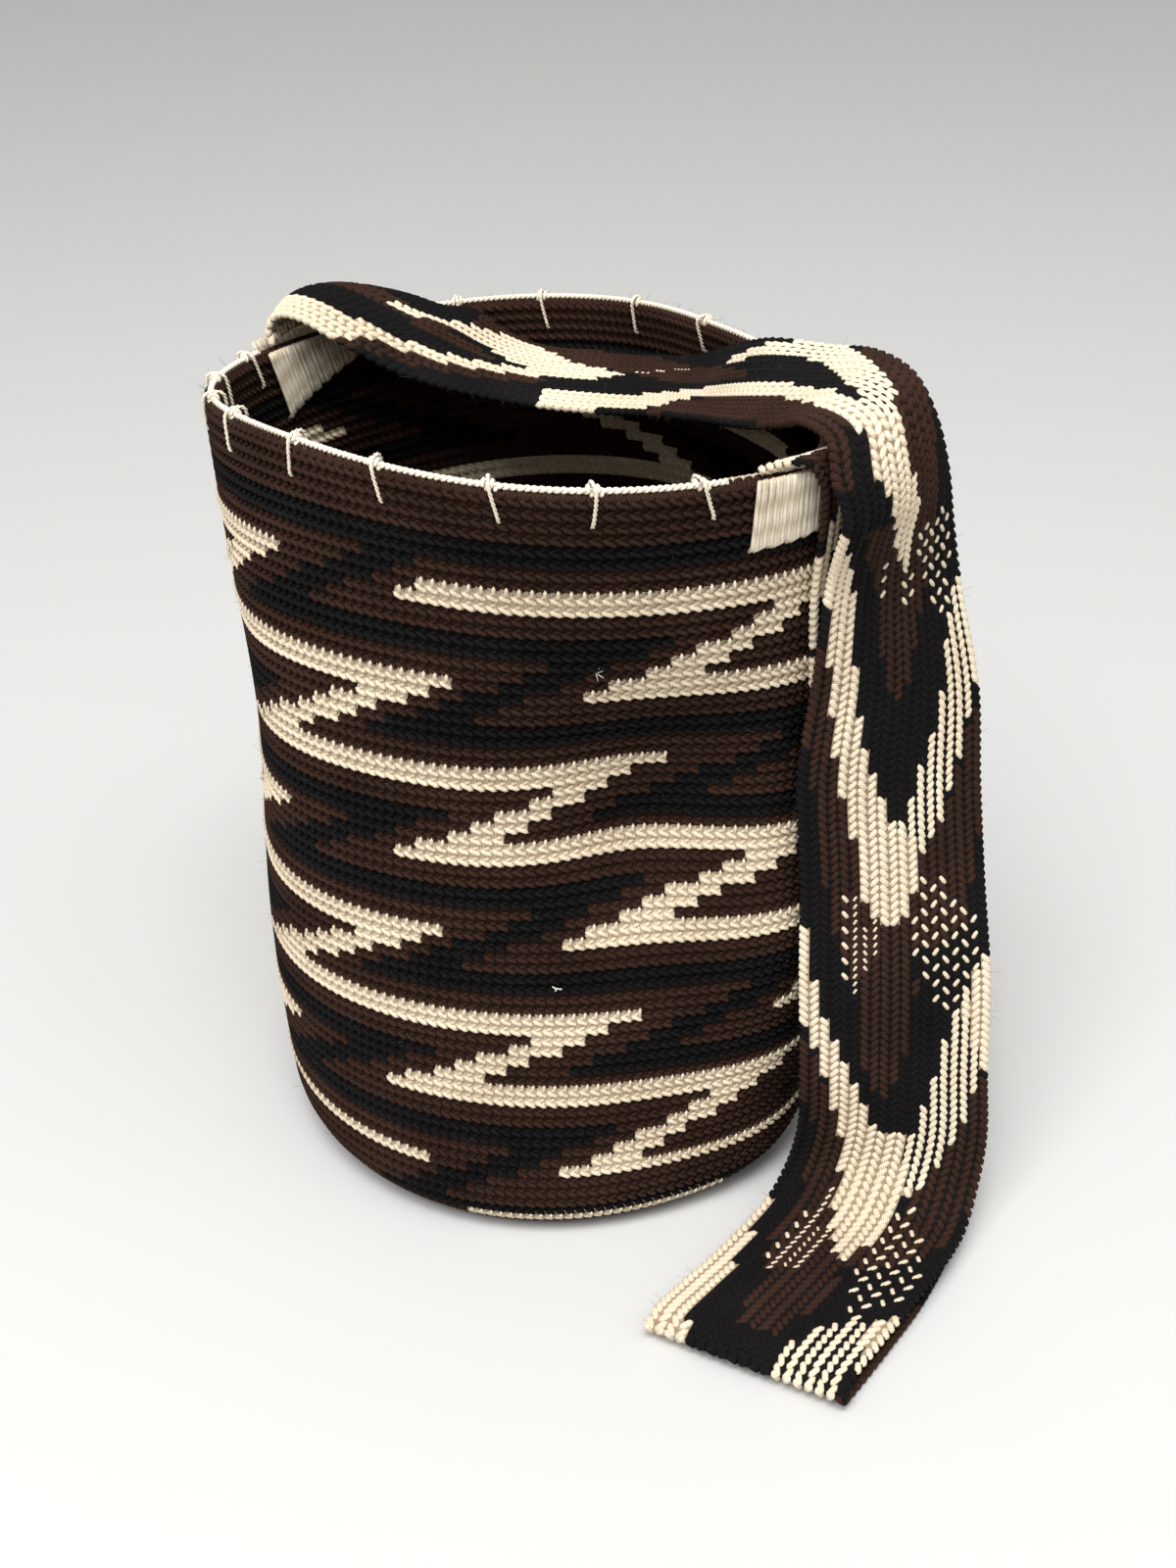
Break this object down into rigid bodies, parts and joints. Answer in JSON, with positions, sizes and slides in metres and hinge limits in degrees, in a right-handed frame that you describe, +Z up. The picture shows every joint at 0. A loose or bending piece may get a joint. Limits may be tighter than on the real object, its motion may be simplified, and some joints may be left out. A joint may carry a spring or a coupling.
{
  "type": "crocheted shoulder bag",
  "caption": "Crocheted bucket bag with a zigzag pattern, open at the mouth, with one broad woven shoulder strap that lies across the mouth, hangs down outside and folds on the floor.",
  "frame": {"origin": "middle of the base's flat face, on the surface that the bag stands on", "axes": "+Z up to the mouth, +X to the side where the strap hangs down, -Y to the front"},
  "size_m": [0.271, 0.3188, 0.3209],
  "materials": {
    "body_yarn": "matt crocheted cotton yarn in brown, black and cream",
    "strap_yarn": "matt woven cotton yarn in brown, black and cream",
    "rim_thread": "matt twisted cream cotton thread",
    "satin_thread": "matt cream cotton thread laid side by side"
  },
  "bodies": {
    "root": {"bag_body": "body_yarn", "strap": "strap_yarn", "rim_thread_back": "rim_thread", "rim_thread_front": "rim_thread", "rim_stitch_01": "rim_thread", "rim_stitch_02": "rim_thread", "rim_stitch_03": "rim_thread", "rim_stitch_04": "rim_thread", "rim_stitch_05": "rim_thread", "rim_stitch_06": "rim_thread", "rim_stitch_07": "rim_thread", "rim_stitch_08": "rim_thread", "rim_stitch_09": "rim_thread", "rim_stitch_10": "rim_thread", "rim_stitch_11": "rim_thread", "rim_stitch_12": "rim_thread", "strap_binding_left_outer": "satin_thread", "strap_binding_left_inner": "satin_thread", "strap_binding_right_outer": "satin_thread", "strap_binding_right_inner": "satin_thread"}
  },
  "joints": []
}
